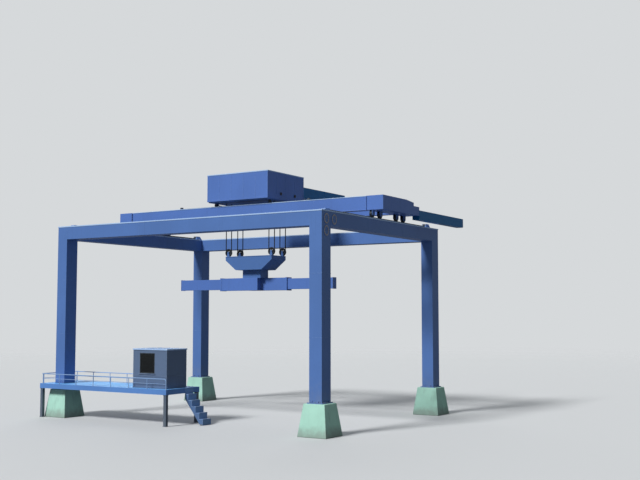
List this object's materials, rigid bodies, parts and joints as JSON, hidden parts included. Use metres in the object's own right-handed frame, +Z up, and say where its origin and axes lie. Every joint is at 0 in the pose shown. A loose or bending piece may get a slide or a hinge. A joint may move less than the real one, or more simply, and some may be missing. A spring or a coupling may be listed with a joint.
{
  "type": "overhead bridge container crane on a fixed portal frame",
  "caption": "Container crane: a fixed four-legged portal on tapered blocks carries a travelling bridge, a trolley with machine house, a hoist and a telescopic spreader, with a cabin platform.",
  "frame": {"origin": "middle of the whole crane's footprint, on the ground", "axes": "+X to the right along the front beam, +Y to the rear along the bridge's travel, +Z up"},
  "size_m": [21.005, 18.13, 15.4276],
  "materials": {
    "frame_blue": "satin blue paint",
    "bridge_blue": "satin blue paint",
    "dark_blue": "satin dark blue paint",
    "head_blue": "satin blue paint",
    "edge_pale": "pale blue paint",
    "block_concrete": "pale green painted concrete",
    "rail_steel": "worn rolled steel",
    "wheel_steel": "dark machined steel",
    "rope_steel": "greased wire rope",
    "deck_blue": "pale blue paint",
    "post_grey": "grey blue paint",
    "cabin_paint": "grey blue paint",
    "window_dark": "dark frame",
    "window_glass": "dark glass",
    "hatch_tan": "tan paint"
  },
  "bodies": {
    "root": {"blocks": "block_concrete", "legs": "frame_blue", "beam_front": "frame_blue", "beam_rear": "frame_blue", "beam_left": "frame_blue", "beam_right": "frame_blue", "frame_cap_plates": "edge_pale", "runway_rails": "rail_steel", "rail_stops": "frame_blue", "corner_hatches": "hatch_tan", "platform_deck": "deck_blue", "platform_posts": "post_grey", "guard_rail_front": "deck_blue", "guard_rail_left": "deck_blue", "guard_rail_rear": "deck_blue", "stair_treads": "deck_blue", "stair_sides": "deck_blue", "cabin_front_wall": "cabin_paint", "cabin_rear_wall": "cabin_paint", "cabin_left_wall": "cabin_paint", "cabin_right_wall": "cabin_paint", "cabin_roof": "edge_pale", "window_frame": "window_dark", "window_glass": "window_glass", "cabin_door": "cabin_paint"},
    "bridge": {"girder_front": "bridge_blue", "girder_rear": "bridge_blue", "girder_top_plates": "edge_pale", "carriage_left": "bridge_blue", "carriage_right": "bridge_blue", "wheel_brackets": "head_blue", "trolley_rails": "rail_steel", "bridge_arm": "dark_blue"},
    "wheel_1": {"wheel_1": "wheel_steel"},
    "wheel_2": {"wheel_2": "wheel_steel"},
    "wheel_3": {"wheel_3": "wheel_steel"},
    "wheel_4": {"wheel_4": "wheel_steel"},
    "wheel_5": {"wheel_5": "wheel_steel"},
    "wheel_6": {"wheel_6": "wheel_steel"},
    "wheel_7": {"wheel_7": "wheel_steel"},
    "wheel_8": {"wheel_8": "wheel_steel"},
    "trolley": {"trolley_bed": "head_blue", "machine_house": "bridge_blue", "house_roof": "edge_pale", "house_vents": "wheel_steel", "house_arm": "dark_blue", "hoist_ropes": "rope_steel"},
    "wheelset_left": {"wheelset_left": "wheel_steel"},
    "wheelset_right": {"wheelset_right": "wheel_steel"},
    "hoist": {"head_block": "head_blue", "sheave_brackets": "head_blue", "rope_loops": "rope_steel", "guide_sleeves": "bridge_blue"},
    "sheave_1": {"sheave_1": "wheel_steel"},
    "sheave_2": {"sheave_2": "wheel_steel"},
    "sheave_3": {"sheave_3": "wheel_steel"},
    "sheave_4": {"sheave_4": "wheel_steel"},
    "arm_left": {"spreader_arm_left": "bridge_blue"},
    "arm_right": {"spreader_arm_right": "bridge_blue"}
  },
  "joints": [
    {"name": "bridge_travel", "type": "slide", "parent": "root", "child": "bridge", "axis": [0, 1, 0], "range_m": [-4.7, 2.3]},
    {"name": "wheel_1_roll", "type": "hinge", "parent": "bridge", "child": "wheel_1", "pos_m": [9.5975, -2.19, 12.3053], "axis": [1, 0, 0], "range_deg": [-714, 1458]},
    {"name": "wheel_2_roll", "type": "hinge", "parent": "bridge", "child": "wheel_2", "pos_m": [9.5975, -1.24, 12.3053], "axis": [1, 0, 0], "range_deg": [-714, 1458]},
    {"name": "wheel_3_roll", "type": "hinge", "parent": "bridge", "child": "wheel_3", "pos_m": [9.5975, 0.82, 12.3053], "axis": [1, 0, 0], "range_deg": [-714, 1458]},
    {"name": "wheel_4_roll", "type": "hinge", "parent": "bridge", "child": "wheel_4", "pos_m": [9.5975, 1.77, 12.3053], "axis": [1, 0, 0], "range_deg": [-714, 1458]},
    {"name": "wheel_5_roll", "type": "hinge", "parent": "bridge", "child": "wheel_5", "pos_m": [-9.4525, -2.19, 12.3053], "axis": [1, 0, 0], "range_deg": [-714, 1458]},
    {"name": "wheel_6_roll", "type": "hinge", "parent": "bridge", "child": "wheel_6", "pos_m": [-9.4525, -1.24, 12.3053], "axis": [1, 0, 0], "range_deg": [-714, 1458]},
    {"name": "wheel_7_roll", "type": "hinge", "parent": "bridge", "child": "wheel_7", "pos_m": [-9.4525, 0.82, 12.3053], "axis": [1, 0, 0], "range_deg": [-714, 1458]},
    {"name": "wheel_8_roll", "type": "hinge", "parent": "bridge", "child": "wheel_8", "pos_m": [-9.4525, 1.77, 12.3053], "axis": [1, 0, 0], "range_deg": [-714, 1458]},
    {"name": "trolley_travel", "type": "slide", "parent": "bridge", "child": "trolley", "axis": [1, 0, 0], "range_m": [-2.7, 2.7]},
    {"name": "wheelset_left_roll", "type": "hinge", "parent": "trolley", "child": "wheelset_left", "pos_m": [-2.0675, -0.655, 13.5076], "axis": [0, 1, 0], "range_deg": [-1889, 1889]},
    {"name": "wheelset_right_roll", "type": "hinge", "parent": "trolley", "child": "wheelset_right", "pos_m": [2.2125, -0.655, 13.5076], "axis": [0, 1, 0], "range_deg": [-1889, 1889]},
    {"name": "hoist_lift", "type": "slide", "parent": "trolley", "child": "hoist", "axis": [0, 0, 1], "range_m": [-5.3, 1.6], "deforming": ["hoist_ropes"]},
    {"name": "sheave_1_spin", "type": "hinge", "parent": "hoist", "child": "sheave_1", "pos_m": [-1.6375, -1.275, 10.431], "axis": [0, 1, 0], "range_deg": [-428, 1414]},
    {"name": "sheave_2_spin", "type": "hinge", "parent": "hoist", "child": "sheave_2", "pos_m": [-1.6375, -0.035, 10.431], "axis": [0, 1, 0], "range_deg": [-428, 1414]},
    {"name": "sheave_3_spin", "type": "hinge", "parent": "hoist", "child": "sheave_3", "pos_m": [1.7825, -1.275, 10.431], "axis": [0, 1, 0], "range_deg": [-1414, 428]},
    {"name": "sheave_4_spin", "type": "hinge", "parent": "hoist", "child": "sheave_4", "pos_m": [1.7825, -0.035, 10.431], "axis": [0, 1, 0], "range_deg": [-1414, 428]},
    {"name": "arm_left_slide", "type": "slide", "parent": "hoist", "child": "arm_left", "axis": [1, 0, 0], "range_m": [0, 3]},
    {"name": "arm_right_slide", "type": "slide", "parent": "hoist", "child": "arm_right", "axis": [1, 0, 0], "range_m": [-3, 0]}
  ],
  "couplings": [
    {"joint": "wheel_1_roll", "follows": "bridge_travel", "rad_per_m": -5.4054},
    {"joint": "wheel_2_roll", "follows": "bridge_travel", "rad_per_m": -5.4054},
    {"joint": "wheel_3_roll", "follows": "bridge_travel", "rad_per_m": -5.4054},
    {"joint": "wheel_4_roll", "follows": "bridge_travel", "rad_per_m": -5.4054},
    {"joint": "wheel_5_roll", "follows": "bridge_travel", "rad_per_m": -5.4054},
    {"joint": "wheel_6_roll", "follows": "bridge_travel", "rad_per_m": -5.4054},
    {"joint": "wheel_7_roll", "follows": "bridge_travel", "rad_per_m": -5.4054},
    {"joint": "wheel_8_roll", "follows": "bridge_travel", "rad_per_m": -5.4054},
    {"joint": "wheelset_left_roll", "follows": "trolley_travel", "rad_per_m": 12.195},
    {"joint": "wheelset_right_roll", "follows": "trolley_travel", "rad_per_m": 12.195},
    {"joint": "sheave_1_spin", "follows": "hoist_lift", "rad_per_m": -4.6512},
    {"joint": "sheave_2_spin", "follows": "hoist_lift", "rad_per_m": -4.6512},
    {"joint": "sheave_3_spin", "follows": "hoist_lift", "rad_per_m": 4.6512},
    {"joint": "sheave_4_spin", "follows": "hoist_lift", "rad_per_m": 4.6512},
    {"joint": "arm_right_slide", "follows": "arm_left_slide", "ratio": -1}
  ]
}
